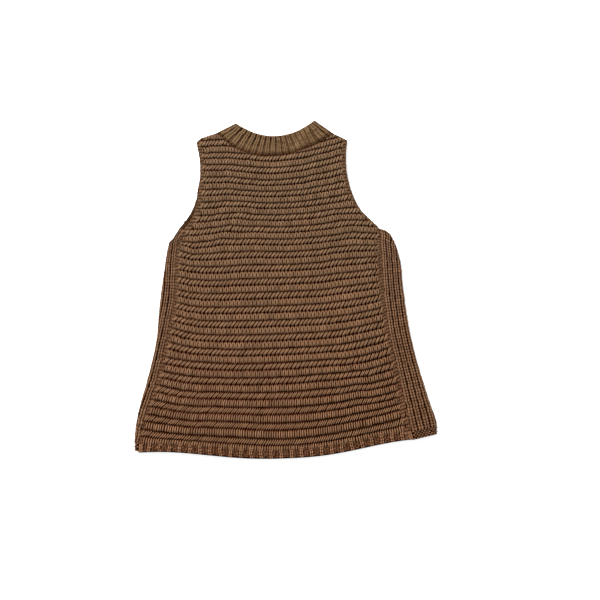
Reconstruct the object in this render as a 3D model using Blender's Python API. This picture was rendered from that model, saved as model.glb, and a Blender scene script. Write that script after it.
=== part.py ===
"""Knitted sweater vest, laid flat on its front with its back up.

Six knitted pieces: a front and a back panel, two ribbed side panels that wrap round the side folds,
and a ribbed neck band in a back and a front half that meet at the shoulders. +X runs across the
back, +Y from hem to neck, +Z up from the floor. Lengths in the tables are millimetres.
"""
from collections import namedtuple
import math

import bmesh
import bpy
import numpy as np

MM = 0.001

# The layers, from the floor up
FRONT_WALL = 4.5        # front panel and front neck band, pressed flat by what lies on them
GAP = 0.3               # air between pieces at a seam and between layers
BACK_LIFT = FRONT_WALL + GAP
WALL = 3.0              # cloth of the back at the foot of a groove
EDGE_WALL = 1.7         # cloth at a bound edge, where it rounds off
FRONT_BEVEL = 1.2

# Crests above the foot of the grooves
SLANTED_RIDGE = 2.8     # course of slanting stitches, above each open groove
ROUND_RIDGE = 2.4       # course of round stitches, below it
SIDE_RIB = 2.0
HEM_RIB = 1.8
NECK_RIB = 2.2

# Back panel: the grooves between its ridges, counted down from the neck seam. A groove is lowest
# near the middle and rises towards each side by rise x (half a cosine wave) ** sharpness.
Groove = namedtuple("Groove", "number middle rise_left rise_right sharpness")
GROOVES = (
    Groove(-5, 286.5, 25, 25, 1.0),
    Groove(0, 236.0, 25, 25, 1.0),
    Groove(5, 183.5, 18, 18, 1.0),
    Groove(9, 142.5, 12, 15, 1.0),
    Groove(13, 100.0, 5, 11, 1.0),
    Groove(17, 56.0, 4, 10, 1.2),
    Groove(21, 9.5, 7, 14, 1.7),
    Groove(25, -39.0, 12, 18, 2.0),
    Groove(29, -88.5, 15, 21, 2.0),
    Groove(33, -138.5, 14, 20, 1.9),
    Groove(37, -190.5, 14, 20, 1.5),
    Groove(41, -245.0, 17, 23, 1.1),
    Groove(43, -271.5, 19, 24, 1.1),
    Groove(44, -278.5, 20, 25, 1.2),
    Groove(45, -294.0, 20, 25, 1.3),
)
FIRST_GROOVE = -5
LAST_GROOVE = 44
HEM_EDGE = 45
RISE_SPAN = 240

# Back panel: its side edges, seam below the arm and armhole above it
Edge = namedtuple("Edge", "height left right")
BACK_EDGES = (
    Edge(-300, -259.0, 226.0),
    Edge(-262, -256.5, 221.0),
    Edge(-219, -247.0, 213.0),
    Edge(-150, -222.0, 200.5),
    Edge(-80, -202.5, 187.5),
    Edge(-10, -186.5, 181.0),
    Edge(80, -177.0, 178.5),
    Edge(100, -173.0, 177.5),
    Edge(113, -168.0, 166.0),
    Edge(134, -152.0, 147.5),
    Edge(160, -139.5, 136.5),
    Edge(190, -133.5, 128.0),
    Edge(235, -132.0, 125.5),
    Edge(270, -137.0, 129.0),
    Edge(320, -137.0, 129.0),
)

# Side panels: where they fold, and their width measured round the fold from seam to seam
Side = namedtuple("Side", "height fold_left fold_right width")
SIDES = (
    Side(-275, -265.0, 261.5, 78),
    Side(-250, -264.5, 264.5, 78),
    Side(-208, -256.5, 254.0, 74),
    Side(-150, -238.5, 237.5, 67),
    Side(-90, -221.5, 224.5, 65),
    Side(-10, -210.0, 214.5, 63),
    Side(50, -199.5, 209.5, 61),
    Side(80, -193.5, 201.0, 60),
    Side(96, -189.0, 193.0, 60),
    Side(107, -186.0, 190.0, 60),
)
SIDE_TOP = {"left": 114, "right": 101}      # heights of the back seam's ends
SIDE_HEM = {"left": -272, "right": -270}
SIDE_TOP_SLOPE = {"left": -0.8, "right": -0.5}      # climb of an edge from the back seam to the fold
SIDE_HEM_SLOPE = 0.2
SIDE_RIBS = 7
SIDE_STATIONS = 18

# Neck and shoulders
NECK_MIDDLE = 2.5
NECK_TOP_HALF = 68.3    # half the width of the band's free edge, and its lowest point and dip
NECK_TOP_LOW = 270.0
NECK_TOP_DIP = 24.0
NECK_SEAM_HALF = 101.3  # the same at its seam
NECK_SEAM_LOW = 236.3
NECK_SEAM_DIP = {"left": (43.0, 3.0), "right": (33.0, 1.9)}     # rise to the shoulder, power
SHOULDER_TIP = {"left": (-137.0, 264.0), "right": (128.5, 256.5)}
SHOULDER_BEND = {"left": (-129.0, 270.5), "right": (112.0, 265.5)}
NECK_RIBS = 17

# Front panel and front half of the neck band, which reaches lower than the back half
FRONT_NECK_LOW = 201.0          # lowest point of the opening
FRONT_SEAM_LOW = 173.0
FRONT_NECK_POWER = 2.2
FRONT_PEEK = (                  # how far the front's left armhole shows past the back's
    (100, 0.0),
    (114, 5.5),
    (134, 5.5),
    (155, 3.0),
    (190, 2.5),
    (205, 0.0),
    (320, 0.0),
)
FRONT_TUCK = 1.0        # its right armhole lies this far inside the back's
FRONT_ARMHOLE_START = 6
SETTLE_MARGIN = 6.0     # over the opening the back sinks to the floor, this far inside its edge
SETTLE_RAMP = 22.0

# How finely the back panel is divided
EDGE_COLUMNS = (0.0, 2.5, 7.0, 12.0)    # distances from a side edge
EDGE_RELIEF = (0.0, 0.6, 0.35, 1.0)     # share of a ridge's height there
BODY_COLUMNS = 10
NECK_COLUMNS = 15
NECK_GROOVES = 6        # above this groove the panel takes NECK_COLUMNS
INNER_ROWS = 16         # rows of the plain inner face below that groove
INNER_INSET = 0.6       # the inner face stops this far inside the side edges
HEM_RIBS = 27
Welt = namedtuple("Welt", "down relief wall")           # rows of the hem welt, top to bottom
WELT = (
    Welt(0.0, 0.0, WALL),
    Welt(0.25, 1.0, WALL),
    Welt(0.85, 1.0, WALL),
    Welt(1.0, 0.5, EDGE_WALL),
)
RIDGE_PROFILE = ((0.0, 0.0), (0.22, 0.8), (0.5, 1.0), (0.78, 0.8))      # along a pitch, height
HEM_PROFILE = ((0.0, 1.0), (0.2, 1.0), (0.35, 0.0), (0.65, 0.0), (0.8, 1.0))    # from crest to crest
NECK_PROFILE = ((0.0, 1.0), (0.3, 1.0), (0.5, 0.0), (0.7, 1.0))

SHARP_ANGLE = math.radians(50)
YARN_BROWN = (0.155, 0.088, 0.050, 1.0)


def curve_through(stations, column):
    """A smooth function of height through one column of a table."""
    at = np.array([station[0] for station in stations], float)
    value = np.array([station[column] for station in stations], float)
    slope = np.gradient(value, at)

    def read(x):
        i = int(np.clip(np.searchsorted(at, x) - 1, 0, len(at) - 2))
        span = at[i + 1] - at[i]
        t = min(max((x - at[i]) / span, 0.0), 1.0)
        start, end = (1 - t) ** 2, t ** 2
        return (
            start * (1 + 2 * t) * value[i]
            + start * t * span * slope[i]
            + end * (3 - 2 * t) * value[i + 1]
            - end * (1 - t) * span * slope[i + 1]
        )

    return read


def back_edge(side):
    """A side edge of the back panel: straight between the side panel's stations, curved above them."""
    curve = curve_through(BACK_EDGES, 1 if side == "left" else 2)
    heights = np.linspace(SIDE_HEM[side], SIDE_TOP[side], SIDE_STATIONS)
    seam = [curve(height) for height in heights]

    def read(y):
        return curve(y) if y > heights[-1] else float(np.interp(y, heights, seam))

    return read


back_left = back_edge("left")
back_right = back_edge("right")
groove_middle = curve_through(GROOVES, 1)
groove_rise = {"left": curve_through(GROOVES, 2), "right": curve_through(GROOVES, 3)}
groove_sharpness = curve_through(GROOVES, 4)
fold_of = {"left": curve_through(SIDES, 1), "right": curve_through(SIDES, 2)}
side_width = curve_through(SIDES, 3)
front_peek = curve_through(FRONT_PEEK, 1)


def smoothstep(t):
    t = min(max(t, 0.0), 1.0)
    return t * t * (3 - 2 * t)


def course_height(number, x):
    """Height of a groove, or of a place between two grooves, at x."""
    wave = (1 - math.cos(math.pi * min(abs(x) / RISE_SPAN, 1.0))) / 2
    rise = groove_rise["left" if x < 0 else "right"](number)
    return groove_middle(number) + rise * wave ** groove_sharpness(number)


def course_end(number, edge):
    """Where a groove meets a side edge of the back panel."""
    x = edge(groove_middle(number))
    for _ in range(12):
        x = edge(course_height(number, x))
    return x


def neck_top(x):
    return NECK_TOP_LOW + NECK_TOP_DIP * ((x - NECK_MIDDLE) / NECK_TOP_HALF) ** 2


def neck_seam(x):
    rise, power = NECK_SEAM_DIP["left" if x < NECK_MIDDLE else "right"]
    return NECK_SEAM_LOW + rise * (abs(x - NECK_MIDDLE) / NECK_SEAM_HALF) ** power


def front_curve(low, half, ends, count):
    """A U from one shoulder down to low and up to the other."""
    points = []
    for t in np.linspace(-1, 1, count):
        angle = math.sin(t * math.pi / 2)
        top = ends[0] if t < 0 else ends[1]
        x = NECK_MIDDLE + half * angle
        points.append((x, low + (top - low) * abs(angle) ** FRONT_NECK_POWER))
    return points


def back_lift(x, y):
    """Height of the back's underside: on the front, or settled on the floor over its neck opening."""
    reach = abs(x - NECK_MIDDLE) / NECK_TOP_HALF
    edge = FRONT_NECK_LOW + (NECK_TOP_LOW + NECK_TOP_DIP - FRONT_NECK_LOW) * reach ** FRONT_NECK_POWER
    slope = FRONT_NECK_POWER * (NECK_TOP_LOW + NECK_TOP_DIP - FRONT_NECK_LOW) / NECK_TOP_HALF
    inside = (y - edge) / math.hypot(1, slope * reach ** (FRONT_NECK_POWER - 1))
    return BACK_LIFT * (1 - smoothstep((inside - SETTLE_MARGIN) / SETTLE_RAMP))


def new_object(name, bm, collection, material=None):
    bmesh.ops.recalc_face_normals(bm, faces=bm.faces)
    mesh = bpy.data.meshes.new(name)
    bm.to_mesh(mesh)
    bm.free()
    mesh.shade_smooth()
    mesh.set_sharp_from_angle(angle=SHARP_ANGLE)
    if material:
        mesh.materials.append(material)
    made = bpy.data.objects.new(name, mesh)
    collection.objects.link(made)
    return made


def add_row(bm, points):
    return [bm.verts.new((x * MM, y * MM, z * MM)) for x, y, z in points]


def lengths_along(row):
    """How far along its row each point lies, as a share of the whole."""
    steps = [0.0] + [(b.co - a.co).length for a, b in zip(row, row[1:])]
    reached = np.cumsum(steps)
    return list(reached / reached[-1])


def join_rows(bm, first, second):
    """Fill the strip between two rows of points, which may differ in number."""
    along_first, along_second = lengths_along(first), lengths_along(second)
    same_count = len(first) == len(second)
    i = j = 0
    while i < len(first) - 1 or j < len(second) - 1:
        if same_count:
            bm.faces.new((first[i], first[i + 1], second[j + 1], second[j]))
            i, j = i + 1, j + 1
        elif j == len(second) - 1 or (i < len(first) - 1 and along_first[i + 1] <= along_second[j + 1]):
            bm.faces.new((first[i], first[i + 1], second[j]))
            i += 1
        else:
            bm.faces.new((first[i], second[j + 1], second[j]))
            j += 1


def close_wall(bm, outer, inner):
    """Join the outer and inner rows of a wall, each face and all four edges."""
    for rows in (outer, inner):
        for a, b in zip(rows, rows[1:]):
            join_rows(bm, a, b)
    join_rows(bm, outer[0], inner[0])
    join_rows(bm, outer[-1], inner[-1])
    for side in (0, -1):
        join_rows(bm, [row[side] for row in outer], [row[side] for row in inner])


def across_back(number, inside_columns):
    """(x, share of a ridge's height there) for each column of a course."""
    left = course_end(number, back_left)
    right = course_end(number, back_right)
    near = [(left + d, relief) for d, relief in zip(EDGE_COLUMNS, EDGE_RELIEF)]
    far = [(right - d, relief) for d, relief in zip(EDGE_COLUMNS, EDGE_RELIEF)]
    start, end = near[-1][0], far[-1][0]
    inside = [(x, 1.0) for x in np.linspace(start, end, inside_columns + 1)[1:-1]]
    return near + inside + far[::-1]


def ridge_height(number):
    return SLANTED_RIDGE if math.floor(number) % 2 == 0 else ROUND_RIDGE


def back_course(number, relief):
    """One row of the back's outer face."""
    columns = NECK_COLUMNS if number < NECK_GROOVES else BODY_COLUMNS
    points = []
    for i, (x, share) in enumerate(across_back(number, columns)):
        y = course_height(number, x)
        at_edge = i == 0 or i == columns + 2 * len(EDGE_COLUMNS) - 2
        wall = EDGE_WALL if at_edge else WALL + relief * share
        points.append((x, y, back_lift(x, y) + wall))
    return points


def ribs_across(count, profile):
    """(place, height) along a row of ribs, counted in ribs from one end to the other."""
    return [(rib + along, height) for rib in range(count) for along, height in profile] + [(count, 1.0)]


def hem_course(welt):
    """One row of the ribbed welt along the hem."""
    number = LAST_GROOVE + welt.down * (HEM_EDGE - LAST_GROOVE)
    left = course_end(number, back_left)
    right = course_end(number, back_right)
    points = []
    for rib, height in ribs_across(HEM_RIBS, HEM_PROFILE):
        x = left + (right - left) * rib / HEM_RIBS
        wall = EDGE_WALL if rib in (0, HEM_RIBS) else welt.wall + welt.relief * height * HEM_RIB
        points.append((x, course_height(number, x), BACK_LIFT + wall))
    return points


def inner_course(number, columns):
    """One row of the back's plain inner face."""
    left = course_end(number, back_left)
    right = course_end(number, back_right)
    points = []
    for x in np.linspace(left + INNER_INSET, right - INNER_INSET, columns + 1):
        y = course_height(number, x)
        points.append((x, y, back_lift(x, y)))
    return points


def make_back_panel(collection, cutter, material):
    bm = bmesh.new()
    outer = []
    for groove in range(FIRST_GROOVE, LAST_GROOVE):
        for along, height in RIDGE_PROFILE:
            outer.append(back_course(groove + along, height * ridge_height(groove)))
    outer += [hem_course(welt) for welt in WELT]
    by_neck = np.arange(FIRST_GROOVE, NECK_GROOVES, 1.0)
    below = np.linspace(NECK_GROOVES, HEM_EDGE, INNER_ROWS)
    inner = [inner_course(number, NECK_COLUMNS + 3) for number in by_neck]
    inner += [inner_course(number, BODY_COLUMNS) for number in below]
    close_wall(bm, [add_row(bm, row) for row in outer], [add_row(bm, row) for row in inner])
    panel = new_object("back_panel", bm, collection, material)
    cut = panel.modifiers.new("neckline and shoulders", "BOOLEAN")
    cut.object = cutter
    cut.operation = "DIFFERENCE"
    cut.solver = "EXACT"
    return panel


def make_neckline_cutter(collection):
    """A prism over the neck opening and above both shoulders, GAP clear of the neck band."""
    seam = [
        (x, neck_seam(x) - GAP)
        for x in np.linspace(NECK_MIDDLE - NECK_SEAM_HALF, NECK_MIDDLE + NECK_SEAM_HALF, 25)
    ]
    left_tip, right_tip = SHOULDER_TIP["left"], SHOULDER_TIP["right"]
    reach = 60
    outline = [
        (left_tip[0] - reach, 330),
        (left_tip[0] - reach, left_tip[1]),
        left_tip,
        SHOULDER_BEND["left"],
        *seam,
        SHOULDER_BEND["right"],
        right_tip,
        (right_tip[0] + reach, right_tip[1]),
        (right_tip[0] + reach, 330),
    ]
    bm = bmesh.new()
    floor = bm.faces.new(add_row(bm, [(x, y, -5) for x, y in outline]))
    grown = bmesh.ops.extrude_face_region(bm, geom=[floor])
    top = [item for item in grown["geom"] if isinstance(item, bmesh.types.BMVert)]
    bmesh.ops.translate(bm, verts=top, vec=(0, 0, 30 * MM))
    cutter = new_object("neckline_cutter", bm, collection)
    cutter.hide_render = True
    cutter.display_type = "WIRE"
    return cutter


def make_slab(name, outline, collection, material):
    """A flat piece FRONT_WALL thick on the floor, with its upper edge rounded."""
    bm = bmesh.new()
    floor = bm.faces.new(add_row(bm, [(x, y, 0) for x, y in outline]))
    grown = bmesh.ops.extrude_face_region(bm, geom=[floor])
    top = [item for item in grown["geom"] if isinstance(item, bmesh.types.BMVert)]
    bmesh.ops.translate(bm, verts=top, vec=(0, 0, FRONT_WALL * MM))
    rim = [edge for edge in bm.edges if all(vert in set(top) for vert in edge.verts)]
    bmesh.ops.bevel(bm, geom=rim, offset=FRONT_BEVEL * MM, segments=2, affect="EDGES", profile=0.5)
    return new_object(name, bm, collection, material)


def side_slope(side, height):
    """How much a side panel's stitches climb from the back seam to the fold, at the seam's height."""
    down = (SIDE_TOP[side] - height) / (SIDE_TOP[side] - SIDE_HEM[side])
    return SIDE_TOP_SLOPE[side] * (1 - smoothstep(down / 0.2)) + SIDE_HEM_SLOPE * down


def side_reach(side, height):
    """Fold, back seam and front seam of a side panel at a height, as distances from the middle."""
    back = abs((back_left if side == "left" else back_right)(height)) + GAP
    fold = abs(fold_of[side](height))
    for _ in range(6):
        fold = abs(fold_of[side](height + side_slope(side, height) * (fold - back)))
    tops = BACK_LIFT + WALL
    under = side_width(height) - (fold - back) - (math.pi / 2 - 1) * tops
    return fold, back, fold - under


def side_section(side, height):
    """Outer and inner outline of a side panel, from the back seam round the fold to the front seam."""
    sign = -1 if side == "left" else 1
    fold, back, front = side_reach(side, height)
    slope = side_slope(side, height)
    radius = (BACK_LIFT + WALL) / 2
    flat = fold - radius - back
    width = side_width(height)
    turn = math.pi * radius
    outer = []
    for rib in range(SIDE_RIBS):
        for along, crest in RIDGE_PROFILE:
            q = width * (rib + along) / SIDE_RIBS
            angle = min(max((q - flat) / radius, 0.0), math.pi)
            grow = radius + SIDE_RIB * crest * math.cos(angle / 2) ** 2
            if q <= flat:
                x, z = back + q, radius + grow
            elif q < flat + turn:
                x, z = fold - radius + grow * math.sin(angle), radius + grow * math.cos(angle)
            else:
                x, z = fold - radius - (q - flat - turn), 0.0
            outer.append((x, max(z, 0.0)))
    outer[0] = (back, BACK_LIFT + EDGE_WALL)
    outer.append((front, 0.0))
    slit = fold - radius
    inner = [(back, BACK_LIFT), (slit, BACK_LIFT), (slit, FRONT_WALL), (front, FRONT_WALL)]
    return [(sign * x, height + slope * max(x - back, 0.0), z) for x, z in outer + inner[::-1]]


def make_side_panel(side, collection, material):
    bm = bmesh.new()
    top, hem = SIDE_TOP[side], SIDE_HEM[side]
    rings = [add_row(bm, side_section(side, height)) for height in np.linspace(top, hem, SIDE_STATIONS)]
    for a, b in zip(rings, rings[1:]):
        join_rows(bm, a + a[:1], b + b[:1])
    bm.faces.new(rings[0])
    bm.faces.new(rings[-1][::-1])
    return new_object("side_panel_" + side, bm, collection, material)


def make_neck_band_back(collection, material):
    """Ribs that fan out from the seam, standing on a wall that sinks over the front's opening."""
    rows_along = ((0.0, 0.0), (0.1, 0.6), (0.45, 1.0), (0.9, 1.0), (1.0, 0.0))
    bm = bmesh.new()

    def place(share, up):
        seam_x = NECK_MIDDLE + NECK_SEAM_HALF * (2 * share - 1)
        top_x = NECK_MIDDLE + NECK_TOP_HALF * (2 * share - 1)
        low, high = neck_seam(seam_x), neck_top(top_x)
        return seam_x + (top_x - seam_x) * up, low + (high - low) * up

    outer = []
    for up, relief in rows_along:
        row = []
        for rib, crest in ribs_across(NECK_RIBS, NECK_PROFILE):
            x, y = place(rib / NECK_RIBS, up)
            at_edge = up in (0.0, 1.0) or rib in (0, NECK_RIBS)
            wall = EDGE_WALL if at_edge else WALL + NECK_RIB * crest * relief
            row.append((x, y, back_lift(x, y) + wall))
        outer.append(add_row(bm, row))
    inner = []
    for up in (0.0, 0.25, 0.5, 0.75, 1.0):
        places = [place(rib / NECK_RIBS, up) for rib in range(NECK_RIBS + 1)]
        inner.append(add_row(bm, [(x, y, back_lift(x, y)) for x, y in places]))
    close_wall(bm, outer, inner)
    return new_object("neck_band_back", bm, collection, material)


def shoulder_ends(half):
    """Heights of the shoulder folds at the band's free edge or at its seam, left and right."""
    if half == NECK_TOP_HALF:
        return neck_top(NECK_MIDDLE - half), neck_top(NECK_MIDDLE + half)
    return neck_seam(NECK_MIDDLE - half), neck_seam(NECK_MIDDLE + half)


def make_neck_band_front(collection, material):
    opening = front_curve(FRONT_NECK_LOW, NECK_TOP_HALF, shoulder_ends(NECK_TOP_HALF), 23)
    seam = front_curve(FRONT_SEAM_LOW, NECK_SEAM_HALF, shoulder_ends(NECK_SEAM_HALF), 23)
    return make_slab("neck_band_front", opening + seam[::-1], collection, material)


def front_side_seam(side):
    """The front's seam with a side panel, from the hem up."""
    sign = -1 if side == "left" else 1
    points = []
    for height in np.linspace(SIDE_HEM[side], SIDE_TOP[side], SIDE_STATIONS):
        _, back, front = side_reach(side, height)
        climb = side_slope(side, height) * max(front - back, 0.0)
        points.append((sign * (front - GAP), height + climb))
    return points


def front_armhole(side):
    """The front's armhole, from just above the side panel up to the shoulder."""
    low = SIDE_TOP[side] + FRONT_ARMHOLE_START
    heights = np.linspace(low, SHOULDER_TIP[side][1], 12)
    if side == "left":
        return [(back_left(height) - front_peek(height), height) for height in heights]
    return [(back_right(height) - FRONT_TUCK, height) for height in heights]


def front_hem(x):
    """The front's hem lies under the back's and, past the back's seam, under the side panel's."""
    seam = back_right(SIDE_HEM["right"])
    return course_height(HEM_EDGE, min(x, seam)) + SIDE_HEM_SLOPE * max(x - seam, 0.0)


def make_front_panel(collection, material):
    seam = front_curve(
        FRONT_SEAM_LOW - GAP, NECK_SEAM_HALF + GAP, [y - GAP for y in shoulder_ends(NECK_SEAM_HALF)], 23
    )
    left = front_side_seam("left") + front_armhole("left")
    right = front_side_seam("right") + front_armhole("right")
    hem = [(x, front_hem(x)) for x in np.linspace(left[0][0], right[0][0], 19)[1:-1]]
    outline = left + [SHOULDER_BEND["left"], *seam, SHOULDER_BEND["right"]] + right[::-1] + hem[::-1]
    return make_slab("front_panel", outline, collection, material)


def clear_scene():
    for item in list(bpy.data.objects):
        bpy.data.objects.remove(item, do_unlink=True)


def new_collection(name):
    made = bpy.data.collections.new(name)
    bpy.context.scene.collection.children.link(made)
    return made


def brown_yarn(name):
    """Soft brown spun yarn: no shine."""
    material = bpy.data.materials.new(name)
    material.use_nodes = True
    shader = material.node_tree.nodes["Principled BSDF"]
    shader.inputs["Base Color"].default_value = YARN_BROWN
    shader.inputs["Roughness"].default_value = 0.92
    shader.inputs["Metallic"].default_value = 0.0
    material.diffuse_color = YARN_BROWN
    return material


def main():
    clear_scene()
    vest = new_collection("knitted_sweater_vest")
    cutters = new_collection("cutters")
    yarn = brown_yarn("brown_yarn")
    cutter = make_neckline_cutter(cutters)
    make_back_panel(vest, cutter, yarn)
    make_front_panel(vest, yarn)
    for side in ("left", "right"):
        make_side_panel(side, vest, yarn)
    make_neck_band_back(vest, yarn)
    make_neck_band_front(vest, yarn)


main()
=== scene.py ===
"""Knitted sweater vest, laid flat with its back up: every piece as cloth covered with stitches of yarn.

Each stitch is modelled once, as strands of yarn, and repeated over the course and wale lines of its
piece. A course line is a groove between two ridges, counted down from the neck seam. A wale is one
stitch wide. Lengths in the tables are millimetres, and +X runs across the back, +Y from hem to neck,
+Z up from the floor.
"""
from collections import namedtuple
import math

import bpy
import numpy as np
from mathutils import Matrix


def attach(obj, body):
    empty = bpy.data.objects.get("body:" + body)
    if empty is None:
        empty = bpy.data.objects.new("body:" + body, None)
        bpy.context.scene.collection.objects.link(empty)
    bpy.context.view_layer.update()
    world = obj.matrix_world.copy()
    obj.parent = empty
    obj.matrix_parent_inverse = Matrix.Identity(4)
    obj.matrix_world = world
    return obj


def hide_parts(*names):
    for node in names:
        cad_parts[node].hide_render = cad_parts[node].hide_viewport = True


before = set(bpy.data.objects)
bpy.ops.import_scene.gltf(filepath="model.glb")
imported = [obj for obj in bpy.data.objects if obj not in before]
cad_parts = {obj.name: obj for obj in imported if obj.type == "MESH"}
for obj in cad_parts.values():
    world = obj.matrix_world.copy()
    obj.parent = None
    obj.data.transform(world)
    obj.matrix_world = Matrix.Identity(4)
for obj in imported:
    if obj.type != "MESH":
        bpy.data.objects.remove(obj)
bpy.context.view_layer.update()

MM = 0.001
bpy.ops.object.select_all(action="DESELECT")


def table_of(columns, *rows):
    """A table whose columns have these names."""
    Row = namedtuple("Row", columns)
    return [Row(*row) for row in rows]


# ---- sizes of the pieces

FRONT_WALL = 4.5        # front layer, pressed flat
GAP = 0.3               # between pieces
BACK_LIFT = FRONT_WALL + GAP
WALL = 3.0              # back cloth at the foot of a groove: heights of stitches count from there

# Grooves between the ridges: height in the middle, rise from there to each side, and how late it comes
GROOVES = table_of(
    "number middle rise_left rise_right sharpness",
    (-5, 286.5, 25, 25, 1.0),
    (0, 236.0, 25, 25, 1.0),
    (5, 183.5, 18, 18, 1.0),
    (9, 142.5, 12, 15, 1.0),
    (13, 100.0, 5, 11, 1.0),
    (17, 56.0, 4, 10, 1.2),
    (21, 9.5, 7, 14, 1.7),
    (25, -39.0, 12, 18, 2.0),
    (29, -88.5, 15, 21, 2.0),
    (33, -138.5, 14, 20, 1.9),
    (37, -190.5, 14, 20, 1.5),
    (41, -245.0, 17, 23, 1.1),
    (43, -271.5, 19, 24, 1.1),
    (44, -278.5, 20, 25, 1.2),
    (45, -294.0, 20, 25, 1.3),
)
FIRST_GROOVE = -5       # above the shoulders, whose folds cut the first ridges off
LAST_GROOVE = 44        # the welt lies below it
HEM_EDGE = 45
RISE_SPAN = 240         # a groove has all of its rise this far from the middle

# The back's edges: its seams with the side panels, and its armholes above them
BACK_EDGES = table_of(
    "height left right",
    (-300, -259.0, 226.0),
    (-262, -256.5, 221.0),
    (-219, -247.0, 213.0),
    (-150, -222.0, 200.5),
    (-80, -202.5, 187.5),
    (-10, -186.5, 181.0),
    (80, -177.0, 178.5),
    (100, -173.0, 177.5),
    (113, -163.0, 166.0),
    (134, -147.5, 146.5),
    (160, -138.0, 133.5),
    (190, -133.5, 125.5),
    (235, -132.0, 124.0),
    (270, -137.0, 129.0),
    (320, -137.0, 129.0),
)

# The side folds, and a side panel's width all round its fold
SIDES = table_of(
    "height fold_left fold_right width",
    (-275, -265.0, 261.5, 78),
    (-250, -264.5, 264.5, 78),
    (-208, -256.5, 254.0, 74),
    (-150, -238.5, 237.5, 67),
    (-90, -221.5, 224.5, 65),
    (-10, -210.0, 214.5, 63),
    (50, -199.5, 209.5, 61),
    (80, -193.5, 201.0, 60),
    (96, -189.0, 193.0, 60),
    (107, -186.0, 190.0, 60),
)
SIDE_TOP = {"left": 114, "right": 101}          # both ends of a side panel's seam with the back
SIDE_HEM = {"left": -272, "right": -270}
SIDE_TOP_SLOPE = {"left": -0.8, "right": -0.5}  # its rows fall outwards at the top
SIDE_TOP_SHARE = 0.2                            # within this share of its length
SIDE_HEM_SLOPE = 0.2                            # and rise outwards at the hem
SIDE_CROWN = {"left": 7.0, "right": 1.5}        # its top edge bulges up beside the armhole
CROWN_MIDDLE = 9.0
CROWN_REACH = 6.0
SIDE_DIP = {"left": 8.0, "right": 0.0}          # and sinks at the seam, which leaves a hole there
DIP_REACH = 3.0
CROWN_DEPTH = 25.0                              # both are gone this far below the top
SIDE_SEAM_SLIP = 1.4                            # its edge slips in under the back's
SIDE_SEAM_DROP = 1.2
SIDE_SEAM_REACH = 1.5
SIDE_RIBS = 7

# Free edge and seam of the back's neck band: half the width, lowest height, and rise from there
NECK_MIDDLE = 2.5
NECK_TOP_HALF = 68.3
NECK_TOP_LOW = 270.0
NECK_TOP_DIP = 24.0
NECK_SEAM_HALF = 101.3
NECK_SEAM_LOW = 236.3
SeamRise = namedtuple("SeamRise", "rise power")
NECK_SEAM_RISE = {"left": SeamRise(43.0, 3.0), "right": SeamRise(33.0, 1.9)}
NECK_RIBS = 17
# A shoulder's fold meets the armhole at its tip, and turns at its bend
SHOULDER_TIP = {"left": (-137.0, 264.0), "right": (128.5, 256.5)}
SHOULDER_BEND = {"left": (-129.0, 270.5), "right": (112.0, 265.5)}

FRONT_NECK_LOW = 201.0      # the front's neckline is the deeper one
FRONT_SEAM_LOW = 173.0
FRONT_NECK_POWER = 2.2
# How far the front shows past the back's left armhole
FRONT_PEEK = table_of(
    "height past",
    (100, 6.0),
    (113, 10.8),
    (128, 8.7),
    (139, 7.2),
    (155, 4.3),
    (190, 2.0),
    (205, 0.0),
    (320, 0.0),
)
FRONT_TUCK = 1.0            # how far it ends inside the right one
FRONT_ARMHOLE_START = {"left": -14.0, "right": 6.0}     # from the top of the side panel, up
SETTLE_MARGIN = 6.0         # the back sinks to the floor this far inside the front's neck opening
SETTLE_RAMP = 22.0          # over this distance

# ---- sizes of the knit

YARN = 2.8              # thickness of the body's yarn, doubled in each stitch
RIB_YARN = 2.5
SIDE_YARN = 2.9
BAND_YARN = 2.9
BAND_PURL_YARN = 2.0
EDGE_YARN = 1.65
Size = namedtuple("Size", "wide tall")
BODY_SIZE = Size(6.6, 11.6)     # what a stitch measures as drawn, before it is laid on its lines
WELT_SIZE = Size(16.0, 5.5)
WELT_PURL_SIZE = Size(14.0, 5.5)
SIDE_SIZE = Size(8.2, 5.3)
BAND_SIZE = Size(8.0, 3.6)
EDGE_TALL = 5.8
SLIP = 0.03             # how unevenly stitches lie: in shares of a wale and of a course
DROP = 0.022
STAND = 0.25            # and in height
WALES = 56              # stitches across the back below the arms
# Wales are narrower above, where stitches are taken in for the arms
WALE_WIDTHS = table_of(
    "number width",
    (-5, 5.3),
    (1, 5.55),
    (5, 6.05),
    (9, 6.3),
    (15, 6.4),
)
ARM_COURSE = 13         # the armholes end at this groove, and wales widen over the next few
ARM_BLEND = 4
LAST_RIDGE_SQUEEZE = 1.25
EDGE_COLUMN = 4.2       # columns of lengthwise stitches run along each edge of the back
# The strip that these columns fill
EDGE_STRIPS = table_of(
    "number left right",
    (-5, 8.5, 8.5),
    (5, 8.5, 8.5),
    (7.5, 9, 8),
    (9.5, 12.5, 6.5),
    (12, 12.5, 6.5),
    (14, 9, 7),
    (17, 8.5, 8.5),
    (36, 8.5, 9),
    (41, 6, 13),
    (46, 5, 13),
)
SIDE_ROWS = 74
SIDE_HEM_ROWS = 3
BAND_ROWS = 8
BAND_PITCH = 8.0        # between its ribs at the free edge
BAND_PITCH_GROWS = 0.49 # with each row
FRONT_BAND_RIBS = 27
FRONT_BAND_PITCH = 9.0
SEAM_SINK = 2.3         # the band dips to its seam, where painted shade darkens it
SEAM_SHADE = 3.0
SEAM_TUCK = 0.5         # its cloth reaches half a row under the back's edge
TUCK_DEPTH = 2.5
WELT_RIBS = 27
WELT_ROWS = 3
WELT_PITCH = 17.3
WELT_LEG_SHADE = 2.8    # a shade above zero is brighter: painted light, which makes the hems brighter than the ridges
WELT_PURL_SHADE = 2.3
HEM_BAR_SHADE = 3.0
CLOTH_WALL = 0.6
BASE_SINK = 2.2         # the cloth's ground lies this deep under a groove's foot

# ---- lines of the pieces

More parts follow.
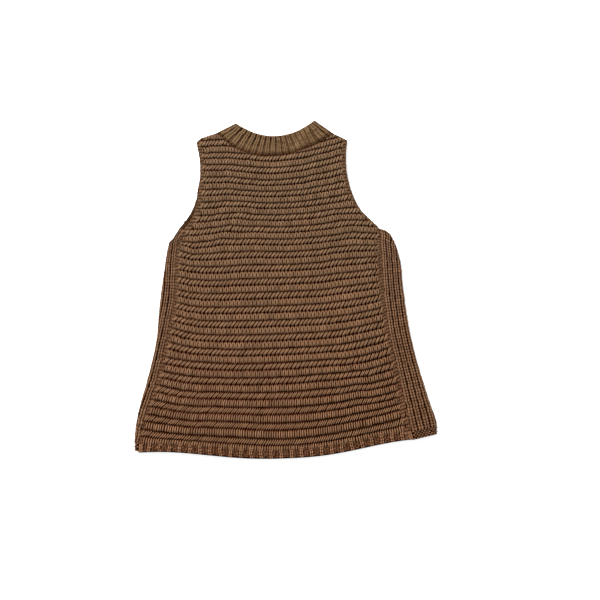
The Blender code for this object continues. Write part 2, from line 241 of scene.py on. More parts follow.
EDGE_STEPS = 12         # each step lands closer to where a course meets an edge
FOLD_STEPS = 6          # and each of these to where a sloping row meets the side fold
FRONT_EDGE_FOOT = 30    # the front's edge is known from this far below the side panel's hem
FRONT_EDGE_TOP = 300    # up to this height


def curve_through(table, column):
    """A smooth function through one column of a table, by the first column."""
    at = np.array([row[0] for row in table], float)
    value = np.array([row[column] for row in table], float)
    slope = np.gradient(value, at)

    def read(x):
        i = np.clip(np.searchsorted(at, x) - 1, 0, len(at) - 2)
        span = at[i + 1] - at[i]
        t = np.clip((x - at[i]) / span, 0.0, 1.0)
        return (
            (1 - t) ** 2 * ((1 + 2 * t) * value[i] + t * span * slope[i])
            + t ** 2 * ((3 - 2 * t) * value[i + 1] - (1 - t) * span * slope[i + 1])
        )

    return read


def both_sides(table, column):
    """The same through a column for the left side and the next one for the right."""
    return {"left": curve_through(table, column), "right": curve_through(table, column + 1)}


groove_middle = curve_through(GROOVES, 1)
groove_rise = both_sides(GROOVES, 2)
groove_sharpness = curve_through(GROOVES, 4)
back_edge = both_sides(BACK_EDGES, 1)
side_fold = both_sides(SIDES, 1)
side_width = curve_through(SIDES, 3)
front_peek = curve_through(FRONT_PEEK, 1)
upper_wale = curve_through(WALE_WIDTHS, 1)
edge_strip = both_sides(EDGE_STRIPS, 1)


def smoothstep(t):
    t = np.clip(t, 0.0, 1.0)
    return t * t * (3 - 2 * t)


def course_height(number, x):
    """Height of a course at x, before its edges pull it."""
    wave = (1 - np.cos(np.pi * np.minimum(np.abs(x) / RISE_SPAN, 1.0))) / 2
    rise = np.where(x < 0, groove_rise["left"](number), groove_rise["right"](number))
    return groove_middle(number) + rise * wave ** groove_sharpness(number)


def course_end(number, edge, pull=0.0):
    """Where a course meets an edge that is known by height."""
    x = edge(groove_middle(number))
    for _ in range(EDGE_STEPS):
        x = edge(course_height(number, x) + pull)
    return x


def neck_top(x):
    return NECK_TOP_LOW + NECK_TOP_DIP * ((x - NECK_MIDDLE) / NECK_TOP_HALF) ** 2


def neck_seam(x):
    reach = np.abs(x - NECK_MIDDLE) / NECK_SEAM_HALF
    left, right = NECK_SEAM_RISE["left"], NECK_SEAM_RISE["right"]
    rise = np.where(x < NECK_MIDDLE, left.rise * reach ** left.power, right.rise * reach ** right.power)
    return NECK_SEAM_LOW + rise


SEAM_ENDS = [NECK_MIDDLE - NECK_SEAM_HALF, NECK_MIDDLE + NECK_SEAM_HALF]


def back_top(x):
    """Upper limit of the back panel: the neck seam, and the shoulder folds on both sides of it."""
    seam = [(end, float(neck_seam(end))) for end in SEAM_ENDS]
    left = [SHOULDER_TIP["left"], SHOULDER_BEND["left"]]
    right = [SHOULDER_BEND["right"], SHOULDER_TIP["right"]]
    fold = np.interp(x, *zip(*(left + seam + right)))
    return np.where((x > SEAM_ENDS[0]) & (x < SEAM_ENDS[1]), neck_seam(x), fold)


def back_lift(x, y):
    """Height of the back's underside: on the front, or settled on the floor over its neck opening."""
    rise = NECK_TOP_LOW + NECK_TOP_DIP - FRONT_NECK_LOW
    reach = np.abs(x - NECK_MIDDLE) / NECK_TOP_HALF
    slope = FRONT_NECK_POWER * rise / NECK_TOP_HALF * reach ** (FRONT_NECK_POWER - 1)
    inside = (y - FRONT_NECK_LOW - rise * reach ** FRONT_NECK_POWER) / np.hypot(1, slope)
    return BACK_LIFT * (1 - smoothstep((inside - SETTLE_MARGIN) / SETTLE_RAMP))


def front_edge(side):
    """The front's edge by height: its seam with the side panel, and its armhole above that."""
    sign = -1 if side == "left" else 1
    places = []
    start = SIDE_TOP[side] + FRONT_ARMHOLE_START[side]
    seam_heights = SIDE_HEM[side] - FRONT_EDGE_FOOT, min(SIDE_TOP[side], start - 1)
    for height in np.linspace(*seam_heights, 24):
        _, back, front = side_reach(side, height)
        climb = side_slope(side, height) * max(front - back, 0.0)
        places.append((float(height + climb), float(sign * (front - GAP))))
    for height in np.linspace(start, FRONT_EDGE_TOP, 16):
        past = front_peek(height) if side == "left" else FRONT_TUCK
        places.append((float(height), float(back_edge[side](height) - past)))
    places.sort()
    heights, reaches = zip(*places)
    return lambda height: np.interp(height, heights, reaches)


def side_slope(side, height):
    """How steeply a row of the side panel rises outwards."""
    down = (SIDE_TOP[side] - height) / (SIDE_TOP[side] - SIDE_HEM[side])
    return SIDE_TOP_SLOPE[side] * (1 - smoothstep(down / SIDE_TOP_SHARE)) + SIDE_HEM_SLOPE * down


def side_reach(side, height):
    """Fold, back seam and front seam of a side panel at a height, as distances from the middle."""
    back = np.abs(back_edge[side](height)) + GAP
    fold = np.abs(side_fold[side](height))
    for _ in range(FOLD_STEPS):
        fold = np.abs(side_fold[side](height + side_slope(side, height) * (fold - back)))
    under = side_width(height) - (fold - back) - (math.pi / 2 - 1) * (BACK_LIFT + WALL)
    return fold, back, fold - under


# ---- where stitches go on each piece
# A place function turns a stitch's wale, course and lift into a point and the lift that is left there.
# Lift counts from the foot of a groove, and the outer face of the cloth is the side it rises to.

# How far the seams and armholes pull each course up, this many millimetres inside them
PULL_COLUMNS = "number at_80 at_50 at_28 at_12 at_0"
PULL_PLACES = (80, 50, 28, 12, 0)
PULL_START = 110
PULLS = {
    "left": table_of(
        PULL_COLUMNS,
        (-5, 3, 3, 0, -3, -4),
        (-1, 3, 3, 0, -4, -5),
        (2, 1.5, 2.5, 0, -2, -2),
        (7, 1.5, 2.5, 0, -2, -2),
        (10, 3.5, 2, -1.5, -2.5, -2.5),
        (12, 3.5, 0, -3, -3.5, -3.5),
        (14, 3, -1, -3, -1.5, -2.5),
        (15, 2.5, -1, -2.5, 2, 7),
        (17, 0, -1, 0, 3.5, 6),
        (23, -1, -1.5, 0, 3, 5.5),
        (26, -0.5, -1, 0.5, 4, 7),
        (29, -0.5, -1, 1, 5, 7),
        (32, 0, 0, 1.5, 3.5, 6),
        (36, -1.5, -1, 2, 5.5, 8),
        (41, -1.5, 0.5, 3.5, 6.5, 8),
        (43, 0, 1, 2.5, 5, 7),
        (44, 0, 0, 0, 0, 0),
        (46, 0, 0, 0, 0, 0),
    ),
    "right": table_of(
        PULL_COLUMNS,
        (-5, 0, 2.5, 4, 6, 6),
        (2, 0, 2.5, 4, 6, 6),
        (6, 0, 2, 2.5, 4, 3.5),
        (9, 0, 0.5, 0.5, 1, 0),
        (11, 0, 1.5, 0, -2, -3.5),
        (15, 0.5, 1.5, -1.5, -4, -5),
        (17, 2, 1.5, 0, -1.5, 0.5),
        (20, 1.5, 1, 0.5, 0, 2),
        (23, 1, 1, 0.5, 0.5, 3),
        (26, 0, 0, 0.5, 1, 4),
        (29, 0, 0.5, 0.5, 1, 4),
        (32, -1.5, -1.5, -0.5, 1.5, 4.5),
        (36, 1, -2, -1, 1, 4.5),
        (39, 1, -0.5, 0, 2.5, 5.5),
        (41, 0.5, 1.5, 4, 6, 8),
        (43, 0, 1, 2, 4.5, 6),
        (44, 0, 0, 0, 0, 0),
        (46, 0, 0, 0, 0, 0),
    ),
}
# Soft waves in which the courses lie
WAVES = table_of(
    "x number reach courses rise",
    (-50, 14.5, 24, 3.5, 2.7),
    (40, 11, 35, 4, -1),
    (-95, 0, 30, 1.7, -1.8),
    (42, -1, 20, 1, 2),
    (-5, 3.5, 25, 1.3, -1.4),
    (-80, 41, 25, 3, 1.5),
    (64, 34.5, 24, 2.5, 1.6),
)
Deepening = namedtuple("Deepening", "depth start span")
GROOVES_DEEPEN = Deepening(0.9, 24, 12)     # towards the hem the grooves get deeper, by course
GROUND_DEEPENS = Deepening(0.5, 26, 10)     # and so does the cloth under the stitches
GROOVE_REACH = 0.15     # half a groove's width, in courses
EDGE_FLATTENS = 0.3     # share of the relief that the back loses at its edges
EDGE_REACH = 8.0
EDGE_TURN = 0.9         # its outermost yarn turns down
EDGE_TURN_REACH = 1.5
RIB_CREST = 1.3         # a neck rib that is pressed flat has its hollows filled up to this level
LEFT_PRESS = 0.75       # on the left they are pressed so at the seam alone
RIGHT_PRESS = (0.3, 0.2)                    # on the right all over, and more at the seam
PRESS_TURN = 0.3
RIB_BEND = 0.1          # the right half's ribs bend by this share of half the seam
RIB_BEND_AT = 0.78      # most at this share of the half
RIB_BEND_REACH = 0.2
SEAM_SINK_ROWS = 1.6    # rows over which the band dips to its seam
PEEK_STRIP = 13.0       # columns of stitches along the front's edge, as wide as this
PEEK_DROP = 1.0
PEEK_SHADE = 8.2        # painted shade: where they show past the back's armhole they are painted dark, as if in its shade
ROLL = 3.5              # at its upper limit the cloth rolls over, from this far inside it
ROLL_DROP = 0.45
PRESSED_LEVEL = 1.4     # height of the front's outer face, and what is left of its relief
PRESSED_SHARE = 0.7
FRONT_TURNS = (36, 6)   # from this course, over some more, the front's courses rise past the right seam


def read_pull(side):
    columns = [curve_through(PULLS[side], column + 1) for column in range(len(PULL_PLACES))]

    def pull(number, inside):
        total, last, start = 0.0, 0.0, PULL_START
        for column, place in zip(columns, PULL_PLACES):
            value = column(number)
            total = total + smoothstep((start - inside) / (start - place)) * (value - last)
            last, start = value, place
        return total

    return pull


edge_pull = {"left": read_pull("left"), "right": read_pull("right")}


def hem_fade(number):
    """Pulls and waves end where the hem begins."""
    return smoothstep((LAST_GROOVE - number) / 2 + 0.5)


NUMBERS = np.linspace(FIRST_GROOVE - 1, HEM_EDGE + 1, 521)
BOTH_SIDES = ("left", "right")
BACK_ENDS = {
    side: course_end(NUMBERS, back_edge[side], edge_pull[side](NUMBERS, 0.0) * hem_fade(NUMBERS))
    for side in BOTH_SIDES
}
FRONT_ENDS = {side: course_end(NUMBERS, front_edge(side)) for side in BOTH_SIDES}


def back_end(side, number):
    return np.interp(number, NUMBERS, BACK_ENDS[side])


def front_end(side, number):
    return np.interp(number, NUMBERS, FRONT_ENDS[side])


def front_span(number):
    return front_end("right", number) - front_end("left", number)


def back_span(number):
    return back_end("right", number) - back_end("left", number)


def spread_wale(number, span):
    """Width of a wale: by its table down to the arms, and an even share of the piece's width below."""
    below = smoothstep((number - ARM_COURSE) / ARM_BLEND)
    return upper_wale(number) * (1 - below) + span / WALES * below


def wale_width(number):
    return spread_wale(number, back_span(number))


def front_wale_width(number):
    return spread_wale(number, front_span(number))


def course_tall(number):
    return groove_middle(number) - groove_middle(number + 1)


def pulled_height(number, x, left, right):
    """A course of the back at x, as its edges pull it and as it lies in waves."""
    height = course_height(number, x)
    for wave in WAVES:
        away = ((x - wave.x) / wave.reach) ** 2 + ((number - wave.number) / wave.courses) ** 2
        height = height + wave.rise * np.exp(-away / 2)
    from_left = edge_pull["left"](number, x - left)
    from_right = edge_pull["right"](number, right - x)
    return height + np.where(x - left < right - x, from_left, from_right) * hem_fade(number)


def deepening(how, number):
    return how.depth * smoothstep((number - how.start) / how.span)


def place_back(wale, number, lift):
    left, right = back_end("left", number), back_end("right", number)
    x = (left + right) / 2 + wale * wale_width(number)
    y = pulled_height(number, x, left, right)
    over = np.maximum(y - back_top(x) + ROLL, 0)
    y = np.minimum(y, back_top(x) - GAP)
    near = np.exp(-np.maximum(np.minimum(x - left, right - x), 0) / EDGE_REACH)
    in_groove = np.exp(-((number - np.round(number)) / GROOVE_REACH) ** 2)
    lift = lift - deepening(GROOVES_DEEPEN, number) * in_groove
    lift = lift * (1 - EDGE_FLATTENS * near) - ROLL_DROP * over
    return x, y, back_lift(x, y) + np.maximum(WALL + lift, CLOTH_WALL), lift


def place_share(place, span, width):
    """The same place function by share of the piece's width, from 0 to 1, instead of by wale."""

    def placed(share, number, lift):
        return place((share - 0.5) * span(number) / width(number), number, lift)

    return placed


def place_edge(side):
    """Columns that follow the back's edge, by share of the strip that they fill, inwards from it."""
    sign = -1 if side == "left" else 1

    def place(share, row, lift):
        number = row / 2
        inward = share * edge_strip[side](number)
        x = back_end(side, number) - sign * inward
        wale = (x - (back_end("left", number) + back_end("right", number)) / 2) / wale_width(number)
        return place_back(wale, number, lift - EDGE_TURN * np.exp(-inward / EDGE_TURN_REACH))

    return place


def place_welt(rib, row, lift):
    number = LAST_GROOVE + row / WELT_ROWS
    return place_share(place_back, back_span, wale_width)(rib / WELT_RIBS, number, lift)


def pressed_flat(lift):
    """Height of the outer face that rests on the floor, upside down."""
    return np.clip(PRESSED_LEVEL - lift * PRESSED_SHARE, 0.0, FRONT_WALL)


def place_front(wale, number, lift):
    """The front's outer face, turned down and pressed flat on the floor."""
    x = (front_end("left", number) + front_end("right", number)) / 2 + wale * front_wale_width(number)
    seam = back_end("right", HEM_EDGE)
    start, span = FRONT_TURNS
    beyond = np.maximum(x - seam, 0) * smoothstep((number - start) / span)
    y = course_height(number, x - beyond) + SIDE_HEM_SLOPE * beyond
    y = np.minimum(y, front_top(x))
    return x, y, pressed_flat(lift), lift


def place_side(side):
    """Places on a side panel: ribs run down it, rows across, from the back's seam round the fold."""
    sign = -1 if side == "left" else 1

    def place(rib, row, lift):
        height = SIDE_TOP[side] + (SIDE_HEM[side] - SIDE_TOP[side]) * np.clip(row / SIDE_ROWS, 0, 1)
        fold, back, _ = side_reach(side, height)
        radius = (BACK_LIFT + WALL) / 2
        across = np.clip(rib / SIDE_RIBS, 0, 1) * side_width(height)
        flat = fold - radius - back
        angle = np.clip((across - flat) / radius, 0, math.pi)
        grow = radius + lift * np.cos(angle / 2) ** np.where(lift > 0, 2, 1)
        tuck = np.exp(-across / SIDE_SEAM_REACH)
        x = back - SIDE_SEAM_SLIP * tuck + np.minimum(across, flat) + grow * np.sin(angle)
        x = x - np.maximum(across - flat - math.pi * radius, 0)
        y = height + side_slope(side, height) * np.maximum(x - back, 0)
        near_top = smoothstep((height - SIDE_TOP[side] + CROWN_DEPTH) / CROWN_DEPTH)
        y = y + SIDE_CROWN[side] * near_top * np.exp(-((across - CROWN_MIDDLE) / CROWN_REACH) ** 2)
        y = y - SIDE_DIP[side] * near_top * np.exp(-across / DIP_REACH)
        return sign * x, y, np.maximum(radius + grow * np.cos(angle) - SIDE_SEAM_DROP * tuck, 0), lift

    return place


def rib_bend(across):
    """How far the right half's ribs bend towards the middle at the seam."""
    near = np.exp(-((across - RIB_BEND_AT) / RIB_BEND_REACH) ** 2)
    return RIB_BEND * near * smoothstep((1 - across) / RIB_BEND_REACH)


def band_place(edge_of, seam_of, ribs, turned_down):
    """Places on a half of the neck band: ribs run along it, rows down from its free edge."""

    def place(rib, row, lift):
        across = 2 * np.clip(rib / ribs, 0, 1) - 1
        down = np.clip(row / BAND_ROWS, 0, 1.1)
        tucked = TUCK_DEPTH * smoothstep((row - BAND_ROWS) / SEAM_TUCK)
        edge_x, high = edge_of(across)
        seam_x, low = seam_of(across if turned_down else across - rib_bend(across))
        x = edge_x + (seam_x - edge_x) * down
        y = high + (low - high) * down
        if turned_down:
            return x, y, pressed_flat(lift), lift
        on_right = smoothstep(across / PRESS_TURN)
        all_over, more = RIGHT_PRESS
        pressed = LEFT_PRESS * smoothstep(down) * (1 - on_right) + (all_over + more * down) * on_right
        lift = RIB_CREST - (RIB_CREST - lift) * (1 - pressed)
        lift = lift - SEAM_SINK * smoothstep((row - BAND_ROWS) / SEAM_SINK_ROWS + 1)
        return x, y, back_lift(x, y) + np.maximum(WALL + lift - tucked, CLOTH_WALL), lift

    return place


def front_curve(low, half, end_of):
    """The front's neck opening or neck seam, as a height for each x."""
    ends = [float(end_of(NECK_MIDDLE - half)), float(end_of(NECK_MIDDLE + half))]

    def height(x):
        reach = np.minimum(np.abs(x - NECK_MIDDLE) / half, 1)
        return low + (np.where(x < NECK_MIDDLE, *ends) - low) * reach ** FRONT_NECK_POWER

    return height


front_opening = front_curve(FRONT_NECK_LOW, NECK_TOP_HALF, neck_top)
front_seam = front_curve(FRONT_SEAM_LOW, NECK_SEAM_HALF, neck_seam)


def front_top(x):
    """Upper limit of the front panel: its neck seam, and the shoulder folds on both sides of it."""
    inside = (x > SEAM_ENDS[0]) & (x < SEAM_ENDS[1])
    return np.where(inside, front_seam(x) - GAP, back_top(x))


def along(line, half, turned=False):
    """Points on a line by share across it, from -1 to 1; a turned line has them closer at its ends."""
    def at(across):
        x = NECK_MIDDLE + half * (np.sin(across * math.pi / 2) if turned else across)
        return x, line(x)

    return at


place_band_back = band_place(
    along(neck_top, NECK_TOP_HALF), along(neck_seam, NECK_SEAM_HALF), NECK_RIBS, False
)
place_band_front = band_place(
    along(front_opening, NECK_TOP_HALF, True), along(front_seam, NECK_SEAM_HALF, True), FRONT_BAND_RIBS, True
)

# ---- yarn modelled once

Stitch = namedtuple("Stitch", "wide tall strands swell")
Strand = namedtuple("Strand", "centre offset spread corners counts uv")
Station = namedtuple("Station", "x y height girth apart", defaults=(0.0,))
Repeated = namedtuple("Repeated", "points strand copies shade lift")


def spin_strand(stations, thickness, sides=6):
    """Model one strand as a bevelled path in millimetres and read it as a pattern to repeat.

    A station is apart by as much as it moves sideways in a stitch that is laid twice as wide. Each point
    of the pattern is kept as its station and its offset from it, so that the yarn stays equally thick
    however wide the stitch is stretched.
    """
    bpy.ops.curve.primitive_nurbs_path_add()
    strand = bpy.context.object
    strand.data.splines.clear()
    path = strand.data.splines.new("POLY")
    path.points.add(len(stations) - 1)
    for point, station in zip(path.points, stations):
        point.co = (station.x, station.y, station.height, 1)
        point.radius = station.girth
    strand.data.bevel_depth = thickness / 2
    strand.data.bevel_resolution = (sides - 4) // 2
    strand.data.use_fill_caps = True
    bpy.ops.object.convert(target="MESH")
    bpy.ops.object.mode_set(mode="EDIT")
    bpy.ops.mesh.select_all(action="SELECT")
    bpy.ops.mesh.remove_doubles(threshold=0.001)
    bpy.ops.mesh.normals_make_consistent(inside=False)
    bpy.ops.object.mode_set(mode="OBJECT")
    mesh = strand.data
    points = np.array([vertex.co for vertex in mesh.vertices])
    centres = np.array([station[:3] for station in stations])
    nearest = np.linalg.norm(points[:, None] - centres[None], axis=2).argmin(axis=1)
    centre = centres[nearest]
    spread = np.array([station.apart for station in stations])[nearest]
    corners = np.array([loop.vertex_index for loop in mesh.loops])
    counts = np.array([face.loop_total for face in mesh.polygons])
    uv = ring_coordinates(points - centre, nearest / (len(stations) - 1), corners, counts)
    bpy.data.objects.remove(strand, do_unlink=True)
    return Strand(centre, points - centre, spread, corners, counts, uv)


def ring_coordinates(spoke, along_it, corners, counts):
    """Per corner: how far along its strand and how far round it, unbroken within each face."""
    round_it = np.arctan2(spoke[:, 2], spoke[:, 0]) / (2 * math.pi)
    uv = np.column_stack([along_it[corners], round_it[corners]])
    starts = np.cumsum(counts) - counts
    for start, count in zip(starts, counts):
        face = uv[start:start + count, 1]
        face += np.round(face[0] - face)
    return uv


def model_stitch(wide, tall, strands, thickness, sides=6, swell=1.0):
    """A stitch, its size, and how much thicker its yarn may get where it is laid wider."""
    return Stitch(wide, tall, [spin_strand(stations, thickness, sides) for stations in strands], swell)


def turned_out(strand):
    """The same strand for lines that mirror it: its faces run the other way round."""
    faces = np.split(np.arange(len(strand.corners)), np.cumsum(strand.counts)[:-1])
    order = np.concatenate([face[::-1] for face in faces])
    return strand._replace(corners=strand.corners[order], uv=strand.uv[order])


def knit(stitch, spots, place, width, height, shading=None, mirrored=False):
    """Repeat a stitch at each spot, a wale and a course, along the piece's lines."""
    wale, number = np.array(spots, float).T
    slip, drop, stand, shade = rng.normal(0, 1, (4, len(wale)))
    # painted light and painted shade that a piece gives its stitches
    if shading:
        shade = shade + shading(wale, number)
    wide = np.broadcast_to(width(number) if callable(width) else width, wale.shape)[:, None]
    tall = np.broadcast_to(height(number) if callable(height) else height, wale.shape)[:, None]
    parts = []
    full = np.clip(wide / stitch.wide, 0.5, stitch.swell)
    for strand in stitch.strands:
        centre, offset = strand.centre, strand.offset
        apart = strand.spread * np.maximum(wide / stitch.wide - 1, 0)
        u = wale[:, None] + (centre[:, 0] + apart) / stitch.wide + offset[:, 0] * full / wide
        v = number[:, None] - centre[:, 1] / stitch.tall - offset[:, 1] * full / tall
        lift = centre[:, 2] + offset[:, 2] + STAND * stand[:, None]
        *point, lift = place(u + SLIP * slip[:, None], v + DROP * drop[:, None], lift)
        points = np.stack(point, axis=-1).reshape(-1, 3)
        strand = turned_out(strand) if mirrored else strand
        parts.append(Repeated(points, strand, len(wale), np.repeat(shade, len(centre)), lift.ravel()))
    return parts


def join_yarn(name, parts):
    """One mesh from all the repeated strands of a piece."""
    corners, counts, uvs, first = [], [], [], 0
    for part in parts:
        shift = first + len(part.strand.centre) * np.arange(part.copies)
        corners.append((part.strand.corners[None] + shift[:, None]).ravel())
        counts.append(np.tile(part.strand.counts, part.copies))
        uvs.append(np.tile(part.strand.uv, (part.copies, 1)))
        first += len(part.points)
    points = np.concatenate([part.points for part in parts]) * MM
    corners, counts, uv = (np.concatenate(rows) for rows in (corners, counts, uvs))
    mesh = bpy.data.meshes.new(name)
    mesh.vertices.add(len(points))
    mesh.vertices.foreach_set("co", points.astype(np.float32).ravel())
    mesh.loops.add(len(corners))
    mesh.loops.foreach_set("vertex_index", corners.astype(np.int32))
    mesh.polygons.add(len(counts))
    mesh.polygons.foreach_set("loop_start", (np.cumsum(counts) - counts).astype(np.int32))
    mesh.uv_layers.new(name="yarn").data.foreach_set("uv", uv.astype(np.float32).ravel())
    for label in ("shade", "lift"):
        values = np.concatenate([getattr(part, label) for part in parts]).astype(np.float32)
        mesh.attributes.new(label, "FLOAT", "POINT").data.foreach_set("value", values)
    mesh.update(calc_edges=True)
    mesh.shade_smooth()
    piece = bpy.data.objects.new(name, mesh)
    bpy.context.scene.collection.objects.link(piece)
    return piece


def drawn(*strands):
    """The strands of a stitch, each a row of stations: x, y, height, girth, and how far apart."""
    return [[Station(*station) for station in strand] for strand in strands]


def pair_of_legs(*leg):
    """A leg to the left, and one to the right that mirrors it."""
    return drawn(leg, [(-x, *rest) for x, *rest in leg])


# Slanted stitch, above an open groove: two strands rise out of the groove, lean to the right over
# the ridge and go under at its top. Where stitches are narrow their roots lie close together, which
# leaves a hole a stitch.
SLANTED = drawn(
    ((3.0, -12.9, -2.4, 0.62, -1.3), (2.7, -10.6, -1.2, 0.7, -1.3), (2.8, -8.7, 0.6, 0.84, -1.0),
     (4.8, -5.6, 1.4, 0.9, -2.2), (7.2, -2.9, 1.0, 0.88, -4.6), (7.8, -0.8, -1.4, 0.68, -5.5)),
    ((3.9, -12.9, -2.4, 0.62, 4.9), (4.2, -10.5, -1.3, 0.7, 4.9), (4.9, -8.4, 0.5, 0.84, 4.0),
     (7.1, -5.3, 1.4, 0.9, 2.2), (9.5, -2.7, 0.9, 0.88, -0.4), (10.1, -0.8, -1.5, 0.66, -1.5)),
)
# Round stitch, below it: two strands that bow apart over an eye, under the next stitch's roots.
ROUND = drawn(
    ((2.5, -0.1, -2.4, 0.7, -2.6), (1.9, -2.0, 0.3, 0.88, -0.8), (1.2, -4.2, 0.8, 0.86, 1.4),
     (1.25, -6.5, 0.8, 0.9, 1.3), (1.6, -9.4, 0.6, 0.95, 0.2), (2.2, -11.4, -2.2, 0.78, -1.7)),
    ((4.1, -0.1, -2.4, 0.7, 2.6), (4.7, -2.0, 0.3, 0.88, 0.8), (5.4, -4.2, 0.8, 0.86, -1.4),
     (5.35, -6.5, 0.8, 0.9, -1.3), (5.0, -9.4, 0.6, 0.95, -0.2), (4.4, -11.4, -2.2, 0.78, 1.7)),
)
# Lengthwise stitch of the welt's ribs: two legs that meet in a V.
LEGS = pair_of_legs(
    (-1.75, 3.1, -2.0, 0.7), (-1.65, 1.1, 0.3, 1), (-1.4, -1.1, 0.5, 1), (-1.2, -3.2, -1.9, 0.7)
)
# The same in the side panels, where the legs run on from stitch to stitch.
SIDE_LEGS = pair_of_legs(
    (-1.95, 2.9, -1.5, 0.8), (-1.85, 1.2, 0.2, 1), (-1.65, -0.9, 0.4, 1), (-1.5, -2.9, -1.5, 0.8)
)
# The same in the neck band's finer rib.
BAND_LEGS = pair_of_legs(
    (-1.5, 2.4, -0.8, 0.85), (-1.5, 0.8, 0.3, 1), (-1.4, -1.0, 0.4, 1), (-1.35, -2.7, -0.8, 0.85)
)
# The same along an edge, finer and more open.
EDGE_LEGS = pair_of_legs(
    (-1.1, 3.0, -1.9, 0.8), (-1.2, 1.3, 0.5, 1), (-0.9, -1.2, 0.9, 1), (-0.4, -3.0, -1.7, 0.8)
)
# Back of a side rib's stitch, seen deep between two ribs.
PURL = drawn(((-2.4, -0.5, -3.1, 0.8), (0.0, 0.9, -2.8, 0.9), (2.4, -0.5, -3.1, 0.8)))
# A bar of the side panels' hem, knitted with its back outwards.
HEM_BAR = drawn(((-1.5, -0.7, -1.6, 0.8), (0.0, 0.8, 0.4, 1), (1.5, -0.7, -1.6, 0.8)))
# Backs of stitches in the welt's wide hollows, short bars that slant.
WELT_PURL = drawn(((-2.2, -1.0, -1.9, 0.8), (0.0, 0.3, -0.7, 1), (2.2, 1.4, -1.9, 0.8)))
# Back of a neck rib's stitch.
BAND_PURL = drawn(((-1.6, -0.4, -2.3, 0.8), (0.0, 0.5, -1.7, 1), (1.6, -0.4, -2.3, 0.8)))
# Linking stitch, which joins the neck band to the back.
LINK = drawn(((-1.0, 1.9, -1.4, 0.8), (0.0, 0.3, 0.6, 1), (1.0, -1.4, -1.2, 0.8)))

rng = np.random.default_rng(7)

STITCH_FOOT = 0.8       # a stitch belongs to the piece where this share of its course does
TOP_MARGIN = 0.5
EDGE_TOP_MARGIN = 2.5
EDGE_INSET = 0.4        # an edge column lies this share of its width inside its strip
END_RIB = 0.2           # the outermost ribs lie this far inside their piece, in ribs
WELT_PURL_START = 0.34  # the first short purl of the welt, and how far the next is from it
WELT_PURL_APART = 0.3
HEM_BAR_START = 0.3     # bars of the side panels' hem: where they start, their spacing and width
HEM_BAR_ROWS = 0.62
HEM_BAR_WIDE = 0.5
LINK_ROW = BAND_ROWS - 0.2
LINK_APART = 0.3
FRONT_MARGINS = {"left": 1.0, "right": 6.0}
PEEK_COLUMNS = (0.15, 0.4, 0.65, 0.9)
PEEK_FIRST_ROW = 8
FRONT_GROUND = -0.3     # the front's ground cloth is level, and its wall grows inwards
FRONT_GROUND_WALL = -2.6


def body_spots(first_number, end_of, top, width, margins, spare=0):
    """(wale, course) of the stitches of every second ridge, spread evenly between both edges.

    Spare stitches go in front of the first, where a ridge's stitches lean out of the edge strip.
    """

    def inside(number):
        left = end_of("left", number) + margins["left"](number)
        return float(left), float(end_of("right", number) - margins["right"](number))

    spots = []
    for number in range(first_number, LAST_GROOVE, 2):
        open_groove = number + 1 - number % 2
        first, last = inside(open_groove)
        count = round((last - first) / float(width(open_groove)))
        centre = number + 0.5
        first, last = inside(centre)
        middle = float(end_of("left", centre) + end_of("right", centre)) / 2
        for i in range(-spare, count):
            x = first + (last - first) * (i + 0.5) / count
            if course_height(number + STITCH_FOOT, x) < top(x) + TOP_MARGIN:
                spots.append(((x - middle) / float(width(centre)) - 0.5, number))
    return spots


def grid_spots(columns, rows):
    return [(column, row) for column in columns for row in rows]


# ---- cloth under the stitches


def lay_cloth(name, columns, rows, place, lift, thickness, keep=None):
    """A grid laid along the lines of a piece and thickened: the ground that shows between stitches."""
    bpy.ops.mesh.primitive_grid_add(x_subdivisions=len(columns) - 1, y_subdivisions=len(rows) - 1, size=1)
    cloth = bpy.context.object
    cloth.name = cloth.data.name = name
    mesh = cloth.data
    flat = np.array([vertex.co for vertex in mesh.vertices])
    column = np.round((flat[:, 0] + 0.5) * (len(columns) - 1)).astype(int)
    row = np.round((0.5 - flat[:, 1]) * (len(rows) - 1)).astype(int)
    u, v = np.asarray(columns, float)[column], np.asarray(rows, float)[row]
    *point, placed_lift = place(u, v, lift(u, v))
    points = np.stack(point, axis=-1) * MM
    mesh.vertices.foreach_set("co", points.astype(np.float32).ravel())
    mesh.attributes.new("lift", "FLOAT", "POINT").data.foreach_set("value", placed_lift.astype(np.float32))
    layer = mesh.uv_layers[0] if mesh.uv_layers else mesh.uv_layers.new(name="knit")
    layer.name = "knit"
    loop_vertex = np.array([loop.vertex_index for loop in mesh.loops])
    layer.data.foreach_set("uv", np.column_stack([u, v])[loop_vertex].astype(np.float32).ravel())
    bpy.ops.object.mode_set(mode="EDIT")
    bpy.ops.mesh.select_mode(type="FACE")
    bpy.ops.mesh.select_all(action="DESELECT")
    bpy.ops.object.mode_set(mode="OBJECT")
    if keep is not None:
        kept = keep(u, v)
        for face in mesh.polygons:
            face.select = not any(kept[i] for i in face.vertices)
        bpy.ops.object.mode_set(mode="EDIT")
        bpy.ops.mesh.delete(type="FACE")
        bpy.ops.object.mode_set(mode="OBJECT")
    wall = cloth.modifiers.new("wall", "SOLIDIFY")
    wall.thickness = thickness * MM
    wall.offset = -1
    bpy.ops.object.modifier_apply(modifier=wall.name)
    mesh.shade_smooth()
    cloth.select_set(False)
    return cloth


RIDGE_CREST = {"round": 1.5, "slanted": 1.3}    # how far the ground rises under each kind of ridge
RIDGE_ROUNDNESS = 1.1
CLOSED_GROOVE = 0.4     # and in every second groove, which is closed
WELT_GROOVE = 0.9       # it lies deeper in the groove above the last ridge
WELT_GROOVE_REACH = 0.35
CLOTH_EDGE = 0.02       # share of the width over which the ridges end at each edge
SIDE_GROUND = (-0.9, 2.0)   # under the side panels' ribs, its lowest level and its rise
SIDE_HEM_RISE = 0.6
BAND_RISE = 1.4
RIB_ROUNDNESS = 0.7


